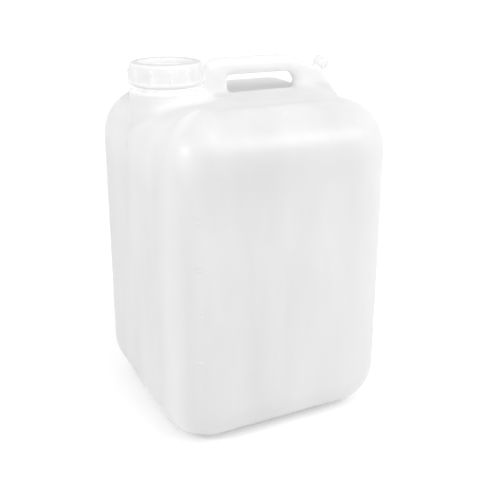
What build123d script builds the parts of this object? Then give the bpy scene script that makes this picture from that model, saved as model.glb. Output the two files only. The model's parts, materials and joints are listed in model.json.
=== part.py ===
"""Square blow-moulded 20 litre carboy with a carrying handle, a 70 mm screw cap and a small vent cap.

Millimetres. The origin is the middle of the base, +Z is up, and the handle runs along X.
The mould parts along the plane Y = 0. Five real pieces, one STEP file each:
container, screw_cap, cap_liner, vent_cap and vent_liner.
"""
import os
from math import radians, sin, tan

from build123d import *

os.makedirs("parts", exist_ok=True)

# ---------------------------------------------------------------- driving sizes
# body
body_width = 257.0  # along X and along Y
shoulder_height = 348.0  # flat top of the body, where the handle and the neck stand
corner_radius = 55.0  # upright corners
shoulder_radius = 52.0
base_radius = 45.0
wall = 2.2

# base: a shallow push-up keeps the middle off the ground
foot_width = 14.0  # flat standing band round the push-up
push_up = 4.0
push_up_slope = 45.0  # degrees from level
push_up_corner = 20.0

# neck
neck_radius = 38.2
neck_inset = 7.7  # the neck's outside, in from the side of the body at -X
neck_wall = 2.6
neck_foot_round = 9.0
neck_height = 14.0  # from the top of the body to the shelf under the cap
ring_height = 3.0
ring_overhang = 1.2
lug_count = 12
lug_height = 3.2
lug_depth = 1.6
lug_width = 9.0
lug_phase = 5.0  # degrees from +X

# threaded finish above the shelf; the thread itself is a surface detail
thread_diameter = 70.0  # over the thread
thread_depth = 1.7
finish_height = 20.5
finish_wall = 2.5
lip_round = 0.8

# screw cap
cap_clearance = 0.5  # between the thread's crest and the cap's bore
cap_gap = 2.8  # from the neck's shelf to the cap's lower edge
cap_wall = 3.1
cap_top = 2.2
cap_round = 4.5
cap_taper = 1.0  # how far the wall leans in from bottom to top
bead_height = 2.6
rib_count = 12
rib_round = 1.9
rib_depth = 0.9
rib_top_margin = 6.0
rib_phase = 17.0  # degrees from +X
recess_wall = 2.2
recess_depth = 6.0
recess_round = 1.6
plug_clearance = 0.6  # the plug seal in the finish's bore
plug_chamfer = 1.2

# liners: soft sealing rings between a cap and its lip
liner_thickness = 1.5
liner_clearance = 0.3  # round the plug and inside the cap's bore
seal_gap = 0.2  # left between a liner and the lip it seals
seat_gap = 0.1  # left between a liner and the cap above it

# handle
handle_thickness = 24.0  # along Y
handle_height = 38.0  # top of the grip above the body
grip_depth = 18.0  # the grip from top to underside
near_leg_overlap = 2.1  # the near leg's outer face and the neck's wall at the body's top
near_leg_lean = 10.0  # how far that face leans away from the neck by the top of the grip
near_leg_width = 30.0  # at the foot, along X
near_leg_bend = 15.0
handle_round = 8.0
handle_foot_round = 8.0
gap_near_round = 4.0  # corners of the finger gap under the grip
gap_far_round = 16.0
far_leg_width = 56.0  # at the foot, along X
far_leg_slope = 52.0  # degrees from level
heel_inset = 2.5  # the far leg's outer face, in from the side of the body at +X
vent_inset = 30.5  # the vent's foot, in from the same side
grip_slope = 23.0  # degrees from level, down to the vent
grip_slope_length = 40.0  # along X
grip_bend = 30.0
heel_round = 16.0

# vent
vent_tilt = 40.0  # its axis leans from upright towards +X, degrees
vent_collar_diameter = 15.2
vent_collar_depth = 9.0
vent_neck_diameter = 12.4
vent_bore = 8.6
vent_neck_height = 8.8
vent_cap_diameter = 17.0
vent_cap_clearance = 0.7
vent_cap_gap = 2.9  # from the collar to the cap's lower edge
vent_cap_top = 1.6
vent_cap_round = 1.6
vent_rib_count = 18
vent_rib_round = 0.8
vent_rib_depth = 0.4
vent_liner_thickness = 1.2

# ---------------------------------------------------------------- worked out from them
half_width = body_width / 2
root_z = shoulder_height - shoulder_radius  # where the neck and legs start, inside the body
finish_radius = thread_diameter / 2 - thread_depth
finish_bore = finish_radius - finish_wall
shelf_z = shoulder_height + neck_height
lug_root = neck_radius - lug_depth
ring_z = shelf_z - lug_height - ring_height
lip_z = shelf_z + finish_height
liner_z = lip_z + seal_gap
cap_base_z = shelf_z + cap_gap
cap_inner_z = liner_z + liner_thickness + seat_gap
cap_top_z = cap_inner_z + cap_top
cap_bore = thread_diameter / 2 + cap_clearance
cap_radius = cap_bore + cap_wall
plug_radius = finish_bore - plug_clearance
recess_radius = plug_radius - recess_wall
recess_z = cap_top_z - recess_depth
neck_offset = half_width - neck_inset - neck_radius  # neck axis, from the middle towards -X
near_leg_foot = neck_radius - near_leg_overlap - neck_offset
heel = half_width - heel_inset
gap_near = near_leg_foot + near_leg_width
gap_far = heel - far_leg_width
vent_place = half_width - vent_inset
grip_end = vent_place - grip_slope_length
grip_top = shoulder_height + handle_height
grip_under = grip_top - grip_depth
vent_z = grip_top - (vent_place - grip_end) * tan(radians(grip_slope))
neck_axis = Pos(-neck_offset, 0, 0)
vent_axis = Pos(vent_place, 0, vent_z) * Rot(0, vent_tilt, 0)


# ---------------------------------------------------------------- shared shapes
def outline(*points):
    """A flat face from corners (x, y) or (x, y, round)."""
    face = make_face(Polyline(*[point[:2] for point in points], close=True))
    for x, y, round_radius in [point for point in points if len(point) == 3]:
        corner = face.vertices().sort_by_distance((x, y))[0]
        face = fillet(corner, round_radius)
    return face


def turned(*corners):
    """A solid of revolution about Z from corners (radius, height) or (radius, height, round)."""
    return revolve(Plane.XZ * outline(*corners), Axis.Z)


def around(piece, count, phase=0.0):
    """Copies of a piece, evenly round the Z axis."""
    return [Rot(0, 0, phase + 360 * i / count) * piece for i in range(count)]


def rib(radius, depth, bar_round, low, high):
    """An upright half-round rib standing `depth` proud of `radius` at +X."""
    bar = Pos(radius + depth - bar_round, 0, low) * extrude(Circle(bar_round), high - low)
    return fillet(bar.faces().sort_by(Axis.Z)[-1].edges(), bar_round * 0.8)


# ---------------------------------------------------------------- container
def body_block(inset):
    """The body's rounded block, every face moved in by `inset`."""
    width = body_width - 2 * inset
    plan = RectangleRounded(width, width, corner_radius - inset)
    block = Pos(0, 0, inset) * extrude(plan, shoulder_height - 2 * inset)
    block = fillet(block.faces().sort_by(Axis.Z)[-1].edges(), shoulder_radius - inset)
    return fillet(block.faces().sort_by(Axis.Z)[0].edges(), base_radius - inset)


def push_up_block(outset):
    """The raised panel under the base, its top and slopes moved out by `outset`."""
    foot = body_width - 2 * (base_radius + foot_width)
    low = foot + 2 * outset / sin(radians(push_up_slope))
    plan = RectangleRounded(low, low, push_up_corner)
    return extrude(plan, push_up + outset, taper=90 - push_up_slope)


def neck_outside():
    """The neck with its transfer ring, the shelf and the finish that carries the thread."""
    ring_radius = neck_radius + ring_overhang
    return turned(
        (0, root_z),
        (neck_radius, root_z),
        (neck_radius, ring_z),
        (ring_radius, ring_z + ring_height / 3, 0.6),
        (ring_radius, ring_z + ring_height * 2 / 3, 0.6),
        (lug_root, ring_z + ring_height),
        (lug_root, shelf_z, 0.5),
        (finish_radius, shelf_z),
        (finish_radius, lip_z, lip_round),
        (0, lip_z),
    )


def neck_bore():
    """The way through the neck, narrowing into the finish."""
    return turned(
        (0, root_z),
        (neck_radius - neck_wall, root_z),
        (neck_radius - neck_wall, ring_z - neck_wall, 3),
        (finish_bore, shelf_z - neck_wall, 3),
        (finish_bore, lip_z),
        (0, lip_z),
    )


def neck_lugs():
    """The row of lugs under the shelf."""
    reach = neck_radius - finish_bore - finish_wall / 2
    lug = Box(reach, lug_width, lug_height, align=(Align.MAX, Align.CENTER, Align.MAX))
    lug = fillet(lug.edges().filter_by(Axis.Z), 0.5)
    return around(Pos(neck_radius, 0, shelf_z) * lug, lug_count, lug_phase)


def handle_block(inset):
    """The handle and its two legs with the finger gap through, every face moved in by `inset`."""
    heel_z = vent_z - (heel - vent_place) * tan(radians(far_leg_slope))
    side_view = outline(
        (near_leg_foot, root_z),
        (near_leg_foot, shoulder_height),
        (near_leg_foot + near_leg_lean, grip_top, near_leg_bend),
        (grip_end, grip_top, grip_bend),
        (vent_place, vent_z),
        (heel, heel_z, heel_round),
        (heel, root_z),
    )
    finger_gap = outline(
        (gap_near, root_z),
        (gap_near, grip_under, gap_near_round),
        (gap_far, grip_under, gap_far_round),
        (gap_far, root_z),
    )
    if inset:
        side_view = offset(side_view, -inset)
        finger_gap = offset(finger_gap, inset)
    block = extrude(Plane.XZ * (side_view - finger_gap), handle_thickness / 2 - inset, both=True)
    rims = block.faces().filter_by(Plane.XZ).edges()
    rims = [edge for edge in rims if edge.center().Z > root_z + 2 * inset + 1]
    return fillet(rims, handle_round - inset)


def container():
    """The one-piece blow moulding: body, neck, hollow handle and vent neck."""
    block = body_block(0)
    handle = handle_block(0)
    with_handle = block + handle
    with_handle = fillet(new_edges(block, handle, combined=with_handle), handle_foot_round)
    neck = neck_axis * neck_outside()
    with_neck = block + neck
    with_neck = fillet(new_edges(block, neck, combined=with_neck), neck_foot_round)
    vent_neck = vent_axis * turned(
        (0, -vent_collar_depth),
        (vent_collar_diameter / 2, -vent_collar_depth),
        (vent_collar_diameter / 2, 0, 0.8),
        (vent_neck_diameter / 2, 0),
        (vent_neck_diameter / 2, vent_neck_height, 0.6),
        (0, vent_neck_height),
    )
    outside = with_handle + with_neck + vent_neck
    outside += [neck_axis * lug for lug in neck_lugs()]
    vent_way = vent_axis * Pos(0, 0, -vent_collar_depth - wall) * extrude(
        Circle(vent_bore / 2), vent_collar_depth + wall + vent_neck_height)
    inside = body_block(wall) - push_up_block(wall)
    inside += [handle_block(wall), neck_axis * neck_bore(), vent_way]
    return outside - push_up_block(0) - inside


# ---------------------------------------------------------------- screw cap and its liner
def screw_cap():
    """The 70 mm cap: skirt with grip ribs and a bead, recessed top that forms the plug seal."""
    bead_radius = cap_radius + rib_depth
    bead_z = cap_base_z + bead_height
    shell = turned(
        (cap_bore, cap_base_z),
        (bead_radius, cap_base_z, 0.6),
        (bead_radius, bead_z, 0.6),
        (cap_radius, bead_z),
        (cap_radius - cap_taper, cap_top_z, cap_round),
        (recess_radius, cap_top_z, recess_round),
        (recess_radius, recess_z, recess_round),
        (0, recess_z),
        (0, recess_z - cap_top),
        (plug_radius - plug_chamfer, recess_z - cap_top),
        (plug_radius, recess_z - cap_top + plug_chamfer),
        (plug_radius, cap_inner_z),
        (cap_bore, cap_inner_z),
    )
    cap_rib = rib(cap_radius, rib_depth, rib_round, bead_z - rib_round, cap_top_z - rib_top_margin)
    return neck_axis * (shell + around(cap_rib, rib_count, rib_phase))


def cap_liner():
    """The sealing ring between the cap and the neck's lip."""
    return neck_axis * turned(
        (plug_radius + liner_clearance, liner_z),
        (cap_bore - liner_clearance, liner_z),
        (cap_bore - liner_clearance, liner_z + liner_thickness),
        (plug_radius + liner_clearance, liner_z + liner_thickness),
    )


# ---------------------------------------------------------------- vent cap and its liner
vent_liner_z = vent_neck_height + seal_gap
vent_cap_inner_z = vent_liner_z + vent_liner_thickness + seat_gap
vent_cap_bore = vent_neck_diameter / 2 + vent_cap_clearance


def vent_cap():
    """The small ribbed cap on the vent neck."""
    radius = vent_cap_diameter / 2 - vent_rib_depth
    top_z = vent_cap_inner_z + vent_cap_top
    shell = turned(
        (vent_cap_bore, vent_cap_gap),
        (radius, vent_cap_gap),
        (radius, top_z, vent_cap_round),
        (0, top_z),
        (0, vent_cap_inner_z),
        (vent_cap_bore, vent_cap_inner_z),
    )
    vent_rib = rib(radius, vent_rib_depth, vent_rib_round, vent_cap_gap, top_z - vent_cap_round)
    return vent_axis * (shell + around(vent_rib, vent_rib_count))


def vent_liner():
    """The sealing disc inside the vent cap."""
    disc = extrude(Circle(vent_cap_bore - liner_clearance), vent_liner_thickness)
    return vent_axis * Pos(0, 0, vent_liner_z) * disc


pieces = {
    "container": container(),
    "screw_cap": screw_cap(),
    "cap_liner": cap_liner(),
    "vent_cap": vent_cap(),
    "vent_liner": vent_liner(),
}
for name, piece in pieces.items():
    export_step(piece, f"parts/{name}.step")
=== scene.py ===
"""The look of a square carboy: skins, threads, moulding lines, studio and camera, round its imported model.

Lengths are in metres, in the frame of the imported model: +Z up, the handle along X, and the mould's parting
in Y = 0. The neck stands at -X, the vent at +X, and the level marks are up the corner at -X and -Y.
"""

import json
from math import ceil, cos, pi, radians, sin, tau

import bmesh
import bpy
import numpy as np
from mathutils import Matrix, Vector
from mathutils.bvhtree import BVHTree


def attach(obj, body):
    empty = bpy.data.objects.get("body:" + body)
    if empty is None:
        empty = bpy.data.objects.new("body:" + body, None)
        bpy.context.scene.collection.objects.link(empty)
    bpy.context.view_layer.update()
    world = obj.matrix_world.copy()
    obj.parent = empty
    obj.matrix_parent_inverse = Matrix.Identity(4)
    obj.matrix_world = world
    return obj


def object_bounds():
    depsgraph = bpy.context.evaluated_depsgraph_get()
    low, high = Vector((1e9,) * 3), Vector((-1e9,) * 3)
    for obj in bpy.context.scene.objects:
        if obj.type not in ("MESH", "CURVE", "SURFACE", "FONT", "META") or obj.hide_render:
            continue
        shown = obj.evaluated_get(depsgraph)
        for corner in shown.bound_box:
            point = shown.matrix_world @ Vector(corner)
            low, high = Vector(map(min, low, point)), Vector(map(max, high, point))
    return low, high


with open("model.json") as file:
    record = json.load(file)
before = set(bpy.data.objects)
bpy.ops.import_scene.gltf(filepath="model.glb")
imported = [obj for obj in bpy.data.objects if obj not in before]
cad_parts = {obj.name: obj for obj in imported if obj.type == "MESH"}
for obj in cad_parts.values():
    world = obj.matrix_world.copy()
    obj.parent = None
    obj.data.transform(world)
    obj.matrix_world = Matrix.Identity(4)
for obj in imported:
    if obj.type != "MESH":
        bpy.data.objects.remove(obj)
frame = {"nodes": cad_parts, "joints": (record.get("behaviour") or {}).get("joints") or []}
cad_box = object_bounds()
nodes = frame["nodes"]
mm = 0.001


def joint(name):
    """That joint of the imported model."""
    return next(one for one in frame["joints"] if one["name"] == name)


# The container's form, as its solid has it: a block of square plan with rounded corners under a flat deck.
body_half = cad_box[1].x
corner_round = 0.055
shoulder_z, deck_z = 0.296, 0.348
neck_middle = joint("cap_turn")["pos_m"]

# The screw cap's rim, and the recess in its top.
rim_z = 0.3865
recess_depth, recess_radius = 0.006, 0.0280

# ---------------------------------------------------------------------------------------------------------
# Node trees
# ---------------------------------------------------------------------------------------------------------


def add(tree, kind, inputs=None, **settings):
    """A new node of that kind. An input is given a value, or another node's output that feeds it."""
    made = tree.nodes.new(kind)
    for name, value in settings.items():
        setattr(made, name, value)
    for name, value in (inputs or {}).items():
        socket = made.inputs[name]
        if isinstance(value, bpy.types.NodeSocket):
            tree.links.new(value, socket)
        else:
            socket.default_value = value
    return made


def calculate(tree, operation, *values):
    """The result of one Math node."""
    return add(tree, "ShaderNodeMath", dict(enumerate(values)), operation=operation).outputs[0]


def times(tree, one, other):
    """The product of two values."""
    return calculate(tree, "MULTIPLY", one, other)


def strongest(tree, first, *others):
    """The greatest of those values."""
    for other in others:
        first = calculate(tree, "MAXIMUM", first, other)
    return first


def vector_maths(tree, operation, *vectors):
    """One Vector Math node."""
    return add(tree, "ShaderNodeVectorMath", dict(enumerate(vectors)), operation=operation)


def step(tree, value, low, high, at_low=0.0, at_high=1.0):
    """A soft step of the value, from one level at `low` to the other at `high`."""
    return add(tree, "ShaderNodeMapRange", {
        "Value": value, "From Min": low, "From Max": high, "To Min": at_low, "To Max": at_high,
    }, interpolation_type="SMOOTHSTEP").outputs[0]


def ramp(tree, value, low, high):
    """The value as a share of the way from `low` to `high`, kept from 0 to 1."""
    return add(tree, "ShaderNodeMapRange", {"Value": value, "From Min": low, "From Max": high}).outputs[0]


def away_from(tree, where, origin, reach):
    """How far the point is from that origin, as a share of the reach along each axis.

    An axis of no reach is left out.
    """
    scale = [1 / along if along else 0.0 for along in reach]
    place = [-start * by for start, by in zip(origin, scale)]
    shares = add(tree, "ShaderNodeMapping", {"Vector": where, "Location": place, "Scale": scale}).outputs[0]
    return vector_maths(tree, "LENGTH", shares).outputs["Value"]


def between(tree, mask, low_colour, high_colour):
    """A colour mixed by the mask from one to the other. Either may be another node's output."""
    return add(tree, "ShaderNodeMix", {0: mask, 6: low_colour, 7: high_colour}, data_type="RGBA").outputs[2]


def grey(value):
    """A neutral colour of that brightness."""
    return (value, value, value, 1)


def lumps(tree, vector, scale, detail):
    """Soft noise from 0 to 1, with `scale` lumps to the metre."""
    inputs = {"Vector": vector, "Scale": scale, "Detail": detail}
    return add(tree, "ShaderNodeTexNoise", inputs).outputs["Fac"]


def group(name, inputs, outputs):
    """A new shader node group with those named sockets. Returns (tree, input sockets, output node)."""
    tree = bpy.data.node_groups.new(name, "ShaderNodeTree")
    for title, (kind, value) in inputs.items():
        socket = tree.interface.new_socket(title, in_out="INPUT", socket_type="NodeSocket" + kind)
        if value is not None:
            socket.default_value = value
    for title, kind in outputs.items():
        tree.interface.new_socket(title, in_out="OUTPUT", socket_type="NodeSocket" + kind)
    return tree, tree.nodes.new("NodeGroupInput").outputs, tree.nodes.new("NodeGroupOutput")


def use(tree, effect, inputs):
    """The outputs of that effect group in a material, with its inputs fed."""
    made = tree.nodes.new("ShaderNodeGroup")
    made.node_tree = effect
    for name, value in inputs.items():
        if isinstance(value, bpy.types.NodeSocket):
            tree.links.new(value, made.inputs[name])
        else:
            made.inputs[name].default_value = value
    return made.outputs


# ---------------------------------------------------------------------------------------------------------
# Effects that the plastics share
# ---------------------------------------------------------------------------------------------------------


def skin_effect():
    """Long upright waves left by uneven cooling, with the fine grain of the mould on top."""
    tree, given, result = group(
        "moulded skin",
        {
            "Vector": ("Vector", None),
            "Wave Size": ("Float", 0.05),
            "Wave Height": ("Float", 0.0002),
            "Wave Upright": ("Float", 0.4),
            "Grain Size": ("Float", 0.001),
            "Grain Height": ("Float", 0.00001),
        },
        {"Normal": "Vector"},
    )
    drawn = add(tree, "ShaderNodeCombineXYZ", {"X": 1.0, "Y": 1.0, "Z": given["Wave Upright"]})
    upright = vector_maths(tree, "MULTIPLY", given["Vector"], drawn.outputs[0])
    normal = None
    for vector, size, height, detail in (
        (upright.outputs[0], "Wave Size", "Wave Height", 1.0),
        (given["Vector"], "Grain Size", "Grain Height", 2.0),
    ):
        relief = lumps(tree, vector, calculate(tree, "DIVIDE", 1.0, given[size]), detail)
        bump = add(tree, "ShaderNodeBump", {
            "Strength": 1.0,
            "Distance": 1.0,
            "Height": times(tree, relief, given[height]),
            **({"Normal": normal} if normal else {}),
        })
        normal = bump.outputs["Normal"]
    tree.links.new(normal, result.inputs["Normal"])
    return tree


def scuff_effect():
    """Rubbed patches from handling: broken, slanting streaks where the skin has lost its shine."""
    slant, stretch = (0.5, 0.3, 0.7), (1.0, 0.12, 0.5)
    patches_a_metre = 14.0
    tree, given, result = group(
        "rubbed skin",
        {"Vector": ("Vector", None), "Streak Size": ("Float", 0.004), "Amount": ("Float", 0.5)},
        {"Mask": "Float"},
    )
    slanted = add(tree, "ShaderNodeMapping", {
        "Vector": given["Vector"], "Rotation": slant, "Scale": stretch,
    }).outputs[0]
    streaks = lumps(tree, slanted, calculate(tree, "DIVIDE", 1.0, given["Streak Size"]), 3.0)
    patches = lumps(tree, given["Vector"], patches_a_metre, 2.0)
    both = times(tree, ramp(tree, streaks, 0.5, 0.75), ramp(tree, patches, 0.4, 0.7))
    tree.links.new(times(tree, both, given["Amount"]), result.inputs["Mask"])
    return tree


moulded_skin = skin_effect()
rubbed_skin = scuff_effect()

# ---------------------------------------------------------------------------------------------------------
# Materials
# ---------------------------------------------------------------------------------------------------------

# The greys that plastic is painted to: pale for painted light in crevices and on the container's lit places,
# darker for painted shade on the container, and darker for painted shade on the screw cap's rim and recess
# root.
painted_light_grey, painted_shade_grey, cap_painted_shade_grey = 0.97, 0.62, 0.68

# How satin the skin is, how far that and its tone wander, and how much duller its rubbed patches are.
satin, satin_range = 0.32, 0.06
tone_range = 0.04
rubbed_amount, rubbed_dulls = 0.6, 0.12

# A crevice counts what is nearer than its reach. Crevices are painted paler and glow with up to this much
# painted light.
crevice_reach = 0.03
crevice_glow_strength = 0.14


def new_material(name):
    """An empty node material. Returns (material, its tree, the object coordinates)."""
    material = bpy.data.materials.new(name)
    material.use_nodes = True
    material.node_tree.nodes.clear()
    return material, material.node_tree, add(material.node_tree, "ShaderNodeTexCoord").outputs["Object"]


def painted_crevice_light(tree, share):
    """How closed in the surface is by what is near, the mask of painted crevice light and painted glow: 0 in
    the open, up to that share deep in a crevice.
    """
    nearby = add(tree, "ShaderNodeAmbientOcclusion", {"Distance": crevice_reach}, samples=8)
    return times(tree, calculate(tree, "SUBTRACT", 1.0, nearby.outputs["AO"]), share)


def polyethylene(name, tone, cloud, upright, scatter, scatter_depth, skin, parts=None):
    """Moulded polyethylene: clouded tone, light that scatters inside, and a satin skin rubbed here and there.

    The clouds are `cloud` across, and drawn out upwards by 1 / `upright`. Crevices are painted paler and
    given a painted glow. `parts` may add painted light and painted shade to the clouded colour, change the
    skin's normal, and say what share of that painted glow each place gets.
    """
    material, tree, where = new_material(name)
    drawn = add(tree, "ShaderNodeMapping", {"Vector": where, "Scale": (1.0, 1.0, upright)}).outputs[0]
    clouds = ramp(tree, lumps(tree, drawn, 1 / cloud, 3.0), 0.3, 0.7)
    colour = between(tree, clouds, grey(tone - tone_range), grey(tone + tone_range))
    normal = use(tree, moulded_skin, {"Vector": where, **skin})["Normal"]
    glow_share = 1.0
    if parts:
        colour, glow_share, normal = parts(tree, where, colour, normal)
    # Crevices are painted paler, towards the pale grey, and glow with painted light, though the plastic is no
    # lamp.
    closed = painted_crevice_light(tree, glow_share)
    rubbed = use(tree, rubbed_skin, {"Vector": where, "Amount": rubbed_amount})["Mask"]
    fine_clouds = lumps(tree, where, 1 / (cloud * 0.4), 3.0)
    dull = calculate(tree, "MULTIPLY_ADD", fine_clouds, satin_range, satin - satin_range / 2)
    surface = add(tree, "ShaderNodeBsdfPrincipled", {
        "Base Color": between(tree, closed, colour, grey(painted_light_grey)),
        "Roughness": calculate(tree, "MULTIPLY_ADD", rubbed, rubbed_dulls, dull),
        "IOR": 1.5,
        "Specular IOR Level": 0.45,
        "Subsurface Weight": scatter,
        "Subsurface Radius": (1.0, 1.0, 1.0),
        "Subsurface Scale": scatter_depth,
        # A painted glow in the crevices.
        "Emission Color": times(tree, closed, crevice_glow_strength),
        "Emission Strength": 1.0,
        "Normal": normal,
    })
    add(tree, "ShaderNodeOutputMaterial", {"Surface": surface.outputs[0]})
    return material


# Where painted light makes the container paler: a painted highlight strip up each corner at the neck's end,
# at this angle from the flat of Y and fading over this much to each side; towards the vent's end; high up at
# the neck's end; and on all that stands on the deck, with the deck's rise into the neck. Each pair is where a
# soft step begins and ends.
highlight_strip_angle, highlight_strip_fade = radians(60), radians(26)
vent_end_x = (0.02, 0.11)
neck_end_x, neck_end_z = (-0.118, -0.09), (0.265, 0.315)
deck_top_z = (deck_z + 0.001, deck_z + 0.009)
neck_foot_z, neck_foot_reach = (deck_z - 0.025, deck_z - 0.008), (0.042, 0.056)
highlight_strip_tint, vent_end_light_tint, neck_end_light_tint, deck_top_light_tint = 0.45, 0.14, 0.4, 0.33

# Where painted shade makes it greyer: a painted shadow in a flat oval behind the handle, starting at the
# parting; painted shade along the long edges of the deck; and painted shade under the bright band of the
# shoulder.
oval_middle, oval_reach, oval_fade = (0.035, 0.0, deck_z), (0.1, 0.1, 0.012), (0.35, 1.0)
behind_parting_y = (0.0, 0.0012)
edge_x, edge_rise_y, edge_fall_y = (0.045, 0.075), (0.06, 0.082), (0.083, 0.087)
under_rise_z, under_fall_z = (0.21, 0.3), (0.31, 0.326)
under_rise_x, under_fall_x = (-0.115, -0.085), (-0.04, 0.1)
painted_shadow_behind_handle, painted_shade_at_edge, painted_shade_under_band = 0.9, 0.2, 0.38

# Its fine relief: where the parting line, the start of the shoulder and the ledge along the deck rise or
# fall, and how high they stand.
line_y, line_rise = (0.0001, 0.0008), 0.0002
shoulder_fall_z, shoulder_rise = (shoulder_z - 0.0015, shoulder_z + 0.0015), 0.00012
ledge_y, ledge_rise = (0.081, 0.0865), 0.0006

# The mould's draft on the deck, as a lean of its normal, from just under the deck to just over it.
draft = 0.1
draft_rise_z, draft_fall_z = (deck_z - 0.02, deck_z - 0.003), (deck_z + 0.001, deck_z + 0.005)


def container_light_and_relief(tree, where, colour, normal):
    """Painted light makes it paler in places, and painted shade makes it greyer in others.

    Round a corner at -X, the angle from the Y faces is atan2 of how far the point is past the corner's axis
    in X and in Y. The painted highlight strip is full at its angle and falls to 0 at its fade to each side.
    The other painted lights and painted shades are soft steps along X, Y and Z, and the strongest one holds.
    The relief, in metres, is the parting line on the flat sides, the low step where the shoulder starts, and
    the low ledge along each long edge of the deck. On the deck the normal leans away from the parting, as the
    two mould halves leave it. Only what stands on the deck, and the rise into the neck, gets painted crevice
    light.
    """
    parts = add(tree, "ShaderNodeSeparateXYZ", {"Vector": where}).outputs
    aside = calculate(tree, "ABSOLUTE", parts["Y"])

    past_x = strongest(tree, calculate(tree, "SUBTRACT", corner_round - body_half, parts["X"]), 0.0)
    past_y = strongest(tree, calculate(tree, "SUBTRACT", aside, body_half - corner_round), 0.0)
    off = calculate(tree, "SUBTRACT", calculate(tree, "ARCTAN2", past_x, past_y), highlight_strip_angle)
    # A painted highlight strip up the corner.
    highlight_strip = step(tree, calculate(tree, "ABSOLUTE", off), 0.0, highlight_strip_fade, highlight_strip_tint, 0.0)
    vent_end_light = step(tree, parts["X"], *vent_end_x, 0.0, vent_end_light_tint)
    neck_end_light = times(
        tree,
        step(tree, parts["X"], *neck_end_x, 1.0, 0.0),
        step(tree, parts["Z"], *neck_end_z, 0.0, neck_end_light_tint),
    )
    from_neck = away_from(tree, where, neck_middle, (1.0, 1.0, 0.0))
    neck_foot = times(
        tree, step(tree, parts["Z"], *neck_foot_z), step(tree, from_neck, *neck_foot_reach, 1.0, 0.0)
    )
    # What stands on the deck gets painted light and the painted crevice glow.
    raised = strongest(tree, step(tree, parts["Z"], *deck_top_z), neck_foot)
    # The painted light: the strongest of the painted highlight strip and the paler places.
    painted_light = strongest(tree, highlight_strip, neck_end_light, vent_end_light, times(tree, raised, deck_top_light_tint))
    colour = between(tree, painted_light, colour, grey(painted_light_grey))

    # A painted shadow behind the handle.
    shadow_behind_handle = step(tree, away_from(tree, where, oval_middle, oval_reach), *oval_fade, painted_shadow_behind_handle, 0.0)
    shadow_behind_handle = times(tree, shadow_behind_handle, step(tree, parts["Y"], *behind_parting_y))
    along_edge = step(tree, calculate(tree, "ABSOLUTE", parts["X"]), *edge_x, 1.0, 0.0)
    # Painted shade along the long edges of the deck.
    edge = times(
        tree, step(tree, aside, *edge_rise_y, 0.0, painted_shade_at_edge), step(tree, aside, *edge_fall_y, 1.0, 0.0)
    )
    # Painted shade under the shoulder's bright band.
    shade_under_band = times(
        tree, step(tree, parts["Z"], *under_rise_z), step(tree, parts["Z"], *under_fall_z, painted_shade_under_band, 0.0)
    )
    across = times(
        tree, step(tree, parts["X"], *under_rise_x), step(tree, parts["X"], *under_fall_x, 1.0, 0.0)
    )
    painted_shade = strongest(tree, shadow_behind_handle, times(tree, along_edge, edge), times(tree, shade_under_band, across))
    colour = between(tree, painted_shade, colour, grey(painted_shade_grey))

    line = step(tree, aside, *line_y, line_rise, 0.0)
    begins = step(tree, parts["Z"], *shoulder_fall_z, shoulder_rise, 0.0)
    ledge = calculate(tree, "MULTIPLY_ADD", along_edge, step(tree, aside, *ledge_y, 0.0, ledge_rise), line)
    relief = calculate(tree, "ADD", begins, ledge)
    raised_skin = add(tree, "ShaderNodeBump", {
        "Strength": 1.0, "Distance": 1.0, "Height": relief, "Normal": normal,
    }).outputs["Normal"]

    on_deck = times(
        tree,
        step(tree, parts["Z"], *draft_rise_z, 0.0, draft),
        step(tree, parts["Z"], *draft_fall_z, 1.0, 0.0),
    )
    lean = times(tree, calculate(tree, "SIGN", parts["Y"]), on_deck)
    lean = add(tree, "ShaderNodeCombineXYZ", {"Y": lean}).outputs[0]
    lean = add(
        tree, "ShaderNodeVectorTransform", {"Vector": lean}, vector_type="VECTOR", convert_from="OBJECT",
        convert_to="WORLD",
    ).outputs[0]
    leaning = vector_maths(tree, "ADD", raised_skin, lean).outputs[0]
    return colour, raised, vector_maths(tree, "NORMALIZE", leaning).outputs[0]


# On the screw cap, painted shade greys the rim from here up, and greys the root where the wall of the recess
# meets its floor.
rim_rise_z = (rim_z - 0.0012, rim_z - 0.0002)
floor_z = rim_z - recess_depth
floor_rise_z = (floor_z - 0.0005, floor_z + 0.0002)
recess_edge = (recess_radius, recess_radius + 0.001)
root_reach, root_z = (recess_radius - 0.005, recess_radius - 0.001), (floor_z + 0.0005, floor_z + 0.003)
# How deep the painted shade is at the root and just above it, and what share of painted glow the recess
# loses.
painted_shade_at_root, root_above, recess_glow_loss = 0.8, 0.1, 0.3


def cap_shade_and_glow(tree, where, colour, normal):
    """Painted shade greys the rim and the root where the recess's wall meets its floor.

    Inside the recess, crevices get less of the painted glow.
    """
    parts = add(tree, "ShaderNodeSeparateXYZ", {"Vector": where}).outputs
    out = away_from(tree, where, neck_middle, (1.0, 1.0, 0.0))
    rim = step(tree, parts["Z"], *rim_rise_z)
    inside = times(tree, step(tree, parts["Z"], *floor_rise_z), step(tree, out, *recess_edge, 1.0, 0.0))
    root = times(
        tree, step(tree, out, *root_reach, 0.0, painted_shade_at_root), step(tree, parts["Z"], *root_z, 1.0, root_above)
    )
    painted_cap_shade = strongest(tree, rim, times(tree, inside, root))
    glow_share = calculate(tree, "SUBTRACT", 1.0, times(tree, inside, recess_glow_loss))
    return between(tree, painted_cap_shade, colour, grey(cap_painted_shade_grey)), glow_share, normal


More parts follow.
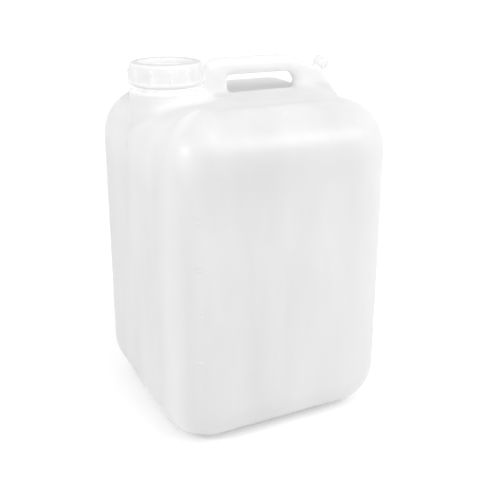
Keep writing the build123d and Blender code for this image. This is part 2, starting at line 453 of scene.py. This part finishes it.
container_skin = {"Wave Size": 0.07, "Wave Height": 0.0006, "Grain Size": 0.0014, "Grain Height": 0.000008}
cap_skin = {"Wave Size": 0.03, "Wave Height": 0.00004, "Grain Size": 0.0008, "Grain Height": 0.000004}
natural = polyethylene(
    "natural polyethylene", tone=0.765, cloud=0.06, upright=0.25, scatter=1.0, scatter_depth=0.004,
    skin=container_skin, parts=container_light_and_relief,
)
natural_ridge = polyethylene(
    "natural polyethylene ridge", tone=0.79, cloud=0.02, upright=0.25, scatter=0.0, scatter_depth=0.0,
    skin=cap_skin, parts=container_light_and_relief,
)
white = polyethylene(
    "white polyethylene", tone=0.835, cloud=0.02, upright=1.0, scatter=0.4, scatter_depth=0.001,
    skin=cap_skin, parts=cap_shade_and_glow,
)
vent_white = polyethylene(
    "vent polyethylene", tone=0.8, cloud=0.01, upright=1.0, scatter=0.4, scatter_depth=0.001, skin=cap_skin,
)
white_ridge = polyethylene(
    "white polyethylene ridge", tone=0.83, cloud=0.02, upright=1.0, scatter=0.0, scatter_depth=0.0,
    skin=cap_skin,
)


def foam(name):
    """Soft white foam of closed cells, each a small dimple."""
    cells_a_metre, dimple = 2200.0, 0.00006
    wall_colour, cell_colour = (0.9, 0.9, 0.88, 1), (0.78, 0.78, 0.75, 1)
    material, tree, where = new_material(name)
    cells = add(tree, "ShaderNodeTexVoronoi", {"Vector": where, "Scale": cells_a_metre}, feature="F1")
    cells = cells.outputs["Distance"]
    hollow = times(tree, cells, dimple)
    bump = add(tree, "ShaderNodeBump", {"Strength": 1.0, "Distance": 1.0, "Height": hollow})
    surface = add(tree, "ShaderNodeBsdfPrincipled", {
        "Base Color": between(tree, cells, wall_colour, cell_colour),
        "Roughness": 0.75,
        "Specular IOR Level": 0.3,
        "Normal": bump.outputs[0],
    })
    add(tree, "ShaderNodeOutputMaterial", {"Surface": surface.outputs[0]})
    return material


liner_foam = foam("closed cell foam")


def dress(node, material):
    """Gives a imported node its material."""
    for held in nodes[node].material_slots:
        held.material = material


dress("container", natural)
dress("screw_cap", white)
dress("vent_cap", vent_white)
dress("cap_liner", liner_foam)
dress("vent_liner", liner_foam)

# ---------------------------------------------------------------------------------------------------------
# Pieces
# ---------------------------------------------------------------------------------------------------------

# Points nearer than this are one point.
weld = 0.002 * mm

# The body, slot and material of what is moulded on the container, and in each of the caps.
on_container = ("carboy", "container_plastic", natural_ridge)
in_cap = ("cap", "cap_plastic", white_ridge)
in_vent_cap = ("vent", "vent_cap_plastic", white_ridge)


def piece_of(name, points, faces, body, slot, material):
    """A smooth mesh piece from its points and faces, closed, facing outwards, riding on that body."""
    mesh = bpy.data.meshes.new(name)
    mesh.from_pydata(points.tolist(), [], faces.tolist())
    shape = bmesh.new()
    shape.from_mesh(mesh)
    bmesh.ops.remove_doubles(shape, verts=shape.verts, dist=weld)
    bmesh.ops.recalc_face_normals(shape, faces=shape.faces)
    shape.to_mesh(mesh)
    shape.free()
    mesh.polygons.foreach_set("use_smooth", np.ones(len(mesh.polygons), bool))
    mesh.materials.append(material)
    made = bpy.data.objects.new(name, mesh)
    bpy.context.scene.collection.objects.link(made)
    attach(made, body)
    return made


def tube_faces(rows, columns):
    """Four-sided faces over a grid of points whose columns go round and close."""
    row, column = np.meshgrid(np.arange(rows - 1), np.arange(columns), indexing="ij")
    here, beside = row * columns + column, row * columns + (column + 1) % columns
    return np.stack([here, beside, beside + columns, here + columns], -1).reshape(-1, 4)


def screw_frame(turning):
    """Origin, outward, sideways and along of the screw that this turning joint follows, as arrays."""
    along = np.array(joint(turning)["axis"], float)
    along /= np.linalg.norm(along)
    sideways = np.array([0.0, 1.0, 0.0])
    return np.array(joint(turning)["pos_m"], float), np.cross(sideways, along), sideways, along


def screw_thread(name, body, slot, material, turning, wall, height, root, crest, pitch, low, turns, start):
    """A thread ridge wound round a screw's axis. A negative height makes it stand inwards, as in a cap.

    At the angle a, a point of the ridge's section, (o out from the wall, h along the axis), lies at
    (wall + o) (outward cos a + sideways sin a) + (low + h + pitch (a - start) / full turn) along.
    The section shrinks to a point inside the wall over the first and the last sixth of a turn.
    """
    rows_a_turn, tapers_a_turn = 72, 6
    origin, outward, sideways, along = screw_frame(turning)
    out = np.sign(height)
    flank = abs(height)
    sunk = 0.25 * flank
    section = np.array([
        (-sunk, -root / 2), (0.0, -root / 2), (0.7 * flank, -0.6 * crest), (0.95 * flank, -0.4 * crest),
        (flank, 0.0), (0.95 * flank, 0.4 * crest), (0.7 * flank, 0.6 * crest), (0.0, root / 2),
        (-sunk, root / 2),
    ])
    rows = int(ceil(turns * rows_a_turn)) + 1
    run = np.linspace(0.0, turns, rows)
    size = np.clip(np.minimum(run, turns - run) * tapers_a_turn, 0, 1)
    size = size * size * (3 - 2 * size)
    angle = start + tau * run
    ridge_out = wall + out * (-sunk + size[:, None] * (section[None, :, 0] + sunk))
    ridge_up = low + pitch * run[:, None] + size[:, None] * section[None, :, 1]
    around = outward * np.cos(angle)[:, None] + sideways * np.sin(angle)[:, None]
    points = origin + ridge_out[..., None] * around[:, None, :] + ridge_up[..., None] * along
    return piece_of(name, points.reshape(-1, 3), tube_faces(rows, len(section)), body, slot, material)


def outer_runs(mesh, clear):
    """Where the skin crosses Y = 0: chains of points (x, z) with the way out of the wall at each.

    A run of the cut belongs to the outer skin if a ray from just outside it gets away along +Y or -Z, which
    no ray from the hollow inside does. `clear` says which points to leave out.
    """
    on_plane, off_skin, fewest_points = 0.001 * mm, 0.3 * mm, 12
    ways_out = (Vector((0, 1, 0)), Vector((0, 0, -1)))
    shape = bmesh.new()
    shape.from_mesh(mesh)
    bmesh.ops.remove_doubles(shape, verts=shape.verts, dist=weld)
    skin = BVHTree.FromBMesh(shape)
    everything = shape.verts[:] + shape.edges[:] + shape.faces[:]
    shape.normal_update()
    bmesh.ops.bisect_plane(
        shape, geom=everything, dist=on_plane, plane_co=(0, 0, 0), plane_no=(0, 1, 0), clear_outer=True
    )
    shape.verts.index_update()
    rim = [edge for edge in shape.edges if len(edge.link_faces) == 1]
    kept = {}
    for edge in rim:
        middle = (edge.verts[0].co + edge.verts[1].co) / 2
        normal = edge.link_faces[0].normal.copy()
        start = middle + (normal * Vector((1, 0, 1))).normalized() * off_skin
        free = any(skin.ray_cast(start, way)[0] is None for way in ways_out)
        if free and not clear(middle):
            for one in edge.verts:
                kept.setdefault(one.index, []).append((edge.other_vert(one).index, normal))
    places = {vert.index: vert.co.copy() for vert in shape.verts}
    shape.free()
    chains = []
    while kept:
        here = next((index for index, ways in kept.items() if len(ways) == 1), next(iter(kept)))
        chain = []
        while here is not None:
            ways = kept.pop(here, [])
            out = sum((normal for _, normal in ways), Vector())
            chain.append((places[here], Vector((out.x, 0, out.z)).normalized()))
            here = next((other for other, _ in ways if other in kept), None)
        chains.append((np.array([place for place, _ in chain]), np.array([out for _, out in chain])))
    return [chain for chain in chains if len(chain[0]) > fewest_points]


def parting_line(name, chains, low, high):
    """The raised line that the two mould halves leave.

    Across the line, at s from -1 to 1, the ridge's point lies at half_width s in Y and at rise (1 - s * s) -
    sunk out of the wall, and the ridge closes inside the wall, at the depth root. A chain whose ends nearly
    meet is closed, and any other shrinks to nothing at its ends. Nothing rises past the corners `low` and
    `high`.
    """
    half_width, rise, sunk, root = 0.8 * mm, 0.3 * mm, 0.05 * mm, 0.4 * mm
    root_share, nearly_meet = 0.6, 3 * mm
    across = np.linspace(-1, 1, 7)
    side = np.concatenate([across, [root_share, -root_share]]) * half_width
    out = np.concatenate([rise * (1 - across**2) - sunk, [-root, -root]])
    points, faces, used = [], [], 0
    for path, normal in chains:
        closed = np.linalg.norm(path[0] - path[-1]) < nearly_meet
        if closed:
            path, normal = np.vstack([path, path[:1]]), np.vstack([normal, normal[:1]])
        size = np.ones(len(path))
        if not closed:
            size[0] = size[-1] = 0
        ridge = path[:, None, :] + normal[:, None, :] * (size[:, None] * (out + root) - root)[..., None]
        ridge[..., 1] = size[:, None] * side
        points.append(np.clip(ridge, low, high).reshape(-1, 3))
        faces.append(tube_faces(len(path), len(side)) + used)
        used += len(path) * len(side)
    return piece_of(name, np.vstack(points), np.vstack(faces), *on_container)


def level_marks(name, heights, around):
    """Small raised bars up one rounded corner, turned `around` from the flat of -Y.

    With x along the bar and y up it, its rim is |x / half_long|^4 + |y / half_tall|^4 = 1, and at the share r
    of the way to the rim the bar stands rise (1 - r * r) out of the wall, a low dome. It closes inside the
    wall, at the depth root.
    """
    half_long, half_tall, rise, root = 3.6 * mm, 1.6 * mm, 0.2 * mm, 0.4 * mm
    columns, rings = 32, 7
    edge = np.linspace(0, tau, columns, endpoint=False)
    reach = (np.abs(np.cos(edge)) ** 4 + np.abs(np.sin(edge)) ** 4) ** -0.25
    share = np.sin(np.linspace(pi / 2, 0, rings))
    share = np.concatenate([[0.0], [1.0], share])
    out = np.concatenate([[-root], [-root], rise * (1 - share[2:] ** 2)])
    long = half_long * share[:, None] * reach * np.cos(edge)
    tall = half_tall * share[:, None] * reach * np.sin(edge)
    corner_axis = np.array(Vector((-1, -1, 0)) * (body_half - corner_round))
    away = np.array([-sin(around), -cos(around), 0.0])
    along = np.array([-cos(around), sin(around), 0.0])
    points, faces = [], []
    for index, height in enumerate(heights):
        middle = corner_axis + away * corner_round + np.array([0, 0, height])
        bar = middle + long[..., None] * along + out[:, None, None] * away
        bar[..., 2] += tall
        points.append(bar.reshape(-1, 3))
        faces.append(tube_faces(len(share), len(edge)) + index * bar[..., 0].size)
    return piece_of(name, np.vstack(points), np.vstack(faces), *on_container)


# Each thread starts at this angle from the outward way.
thread_start = 0.6
neck_size = {"height": 1.7 * mm, "root": 3.0 * mm, "crest": 1.3 * mm, "pitch": 6 * mm, "low": -0.5 * mm}
cap_size = {**neck_size, "height": -1.7 * mm, "root": 2.6 * mm, "low": 2.5 * mm}
vent_size = {"height": 0.6 * mm, "root": 1.1 * mm, "crest": 0.5 * mm, "pitch": 2.5 * mm, "low": 3.6 * mm}
vent_cap_size = {**vent_size, "height": -0.5 * mm, "low": 4.85 * mm}
for thread, held_by, turning, wall, turns, size in (
    ("neck_thread", on_container, "cap_turn", 33.3 * mm, 2.1, neck_size),
    ("cap_thread", in_cap, "cap_turn", 35.5 * mm, 1.75, cap_size),
    ("vent_thread", on_container, "vent_turn", 6.2 * mm, 1.6, vent_size),
    ("vent_cap_thread", in_vent_cap, "vent_turn", 6.9 * mm, 1.3, vent_cap_size),
):
    screw_thread(thread, *held_by, turning, wall, turns=turns, start=thread_start, **size)

# The neck's finish and the vent's are trimmed smooth: this far from the axis of each, and from this high up.
finish_reach, finish_low = 39.5 * mm, 355.2 * mm
vent_reach, vent_low = 9 * mm, 0.2 * mm


def on_a_finish(point):
    """Whether a point of the outline is on the neck's finish or the vent's, which have no parting line."""
    on_neck = abs(point.x - neck_middle[0]) < finish_reach and point.z > finish_low
    origin, _, _, along = screw_frame("vent_turn")
    from_vent = np.array(point) - origin
    height = from_vent @ along
    on_vent = height > vent_low and np.linalg.norm(from_vent - along * height) < vent_reach
    return on_neck or on_vent


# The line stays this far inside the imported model's box.
box_gap = 0.02 * mm
parting_line(
    "parting_line",
    outer_runs(nodes["container"].data, on_a_finish),
    np.array(cad_box[0]) + box_gap,
    np.array(cad_box[1]) - box_gap,
)

# The levels of about 6, 9, 12 and 15 litres.
level_marks("level_marks", [104.6 * mm, 154.5 * mm, 203.1 * mm, 251.3 * mm], radians(28))

# ---------------------------------------------------------------------------------------------------------
# Studio
# ---------------------------------------------------------------------------------------------------------


def seen_white(tree):
    """1 where the camera, a mirror ray or a ray through glass looks, so that all three see it as white."""
    path = add(tree, "ShaderNodeLightPath").outputs
    return strongest(tree, path["Is Camera Ray"], path["Is Glossy Ray"], path["Is Transmission Ray"])


def make_world(fill):
    """White where it is looked at, and an even fill of that strength for all the rest of the light."""
    world = bpy.data.worlds.new("studio")
    world.use_nodes = True
    tree = world.node_tree
    tree.nodes.clear()
    strength = add(tree, "ShaderNodeMapRange", {"Value": seen_white(tree), "To Min": fill, "To Max": 1.0})
    light = add(tree, "ShaderNodeBackground", {"Color": (1, 1, 1, 1), "Strength": strength.outputs[0]})
    add(tree, "ShaderNodeOutputWorld", {"Surface": light.outputs[0]})
    bpy.context.scene.world = world


def make_floor(size):
    """A pale floor that is white where it is looked at, and keeps the shadow of what stands on it."""
    near, far = 0.7, 2.5
    near_lift, far_lift = 0.25, 0.5
    corners = np.array([(-1, -1, 0), (1, -1, 0), (1, 1, 0), (-1, 1, 0)]) * size / 2
    mesh = bpy.data.meshes.new("floor")
    mesh.from_pydata(corners.tolist(), [], [(0, 1, 2, 3)])
    floor = bpy.data.objects.new("floor", mesh)
    bpy.context.scene.collection.objects.link(floor)
    material, tree, where = new_material("pale floor")
    matt = add(tree, "ShaderNodeBsdfDiffuse", {"Color": grey(0.9)})
    away = vector_maths(tree, "LENGTH", where).outputs["Value"]
    lift = times(tree, seen_white(tree), step(tree, away, near, far, near_lift, far_lift))
    glow = add(tree, "ShaderNodeEmission", {"Color": (1, 1, 1, 1), "Strength": lift})
    both = add(tree, "ShaderNodeAddShader", {0: matt.outputs[0], 1: glow.outputs[0]})
    add(tree, "ShaderNodeOutputMaterial", {"Surface": both.outputs[0]})
    mesh.materials.append(material)


def soft_box(name, azimuth, elevation, distance, width, height, power):
    """A rectangular lamp that looks at the middle of the object. Azimuth turns from -Y towards +X."""
    lamp = bpy.data.lights.new(name, "AREA")
    lamp.shape = "RECTANGLE"
    lamp.size, lamp.size_y = width, height
    lamp.energy = power
    holder = bpy.data.objects.new(name, lamp)
    bpy.context.scene.collection.objects.link(holder)
    way = Vector((
        sin(radians(azimuth)) * cos(radians(elevation)),
        -cos(radians(azimuth)) * cos(radians(elevation)),
        sin(radians(elevation)),
    ))
    middle = (cad_box[0] + cad_box[1]) / 2
    aimed = way.to_track_quat("Z", "Y").to_matrix().to_4x4()
    holder.matrix_world = Matrix.Translation(middle + way * distance) @ aimed


make_world(0.72)
make_floor(12.0)
lamp_distance = 1.6
for title, azimuth, elevation, width, height, power in (
    ("front box", 34, 37, 0.5, 0.6, 5.2),
    ("left box", -65, 36, 0.2, 0.2, 3.9),
    ("overhead box", 14, 63, 0.25, 0.25, 2.5),
    ("right wall", 90, 15, 1.0, 1.0, 0.8),
    ("right front wall", 50, 8, 1.0, 1.0, 1.1),
    ("left wall", -60, 8, 0.8, 1.2, 1.8),
    ("front wall", 0, 8, 1.0, 1.0, 0.3),
    ("far left wall", -150, 30, 1.0, 1.0, 1.2),
):
    soft_box(title, azimuth, elevation, lamp_distance, width, height, power)


def make_camera():
    """The camera at the height and turn from which the object is shown. Its lens is in millimetres."""
    lens = bpy.data.cameras.new("camera")
    lens.sensor_width = 36.0
    lens.lens = 56.937541
    lens.shift_y = -0.0902
    camera = bpy.data.objects.new("camera", lens)
    bpy.context.scene.collection.objects.link(camera)
    bpy.context.scene.camera = camera
    turn, pitch, distance = radians(25.69), radians(17.75), 0.87676
    back = Vector((-sin(turn) * cos(pitch), -cos(turn) * cos(pitch), sin(pitch)))
    aim = Vector((0.00654, 0.0, 0.22421))
    camera.location = aim + back * distance
    camera.rotation_mode = "QUATERNION"
    camera.rotation_quaternion = back.to_track_quat("Z", "Y")


make_camera()
bpy.context.scene.view_settings.view_transform = "Standard"
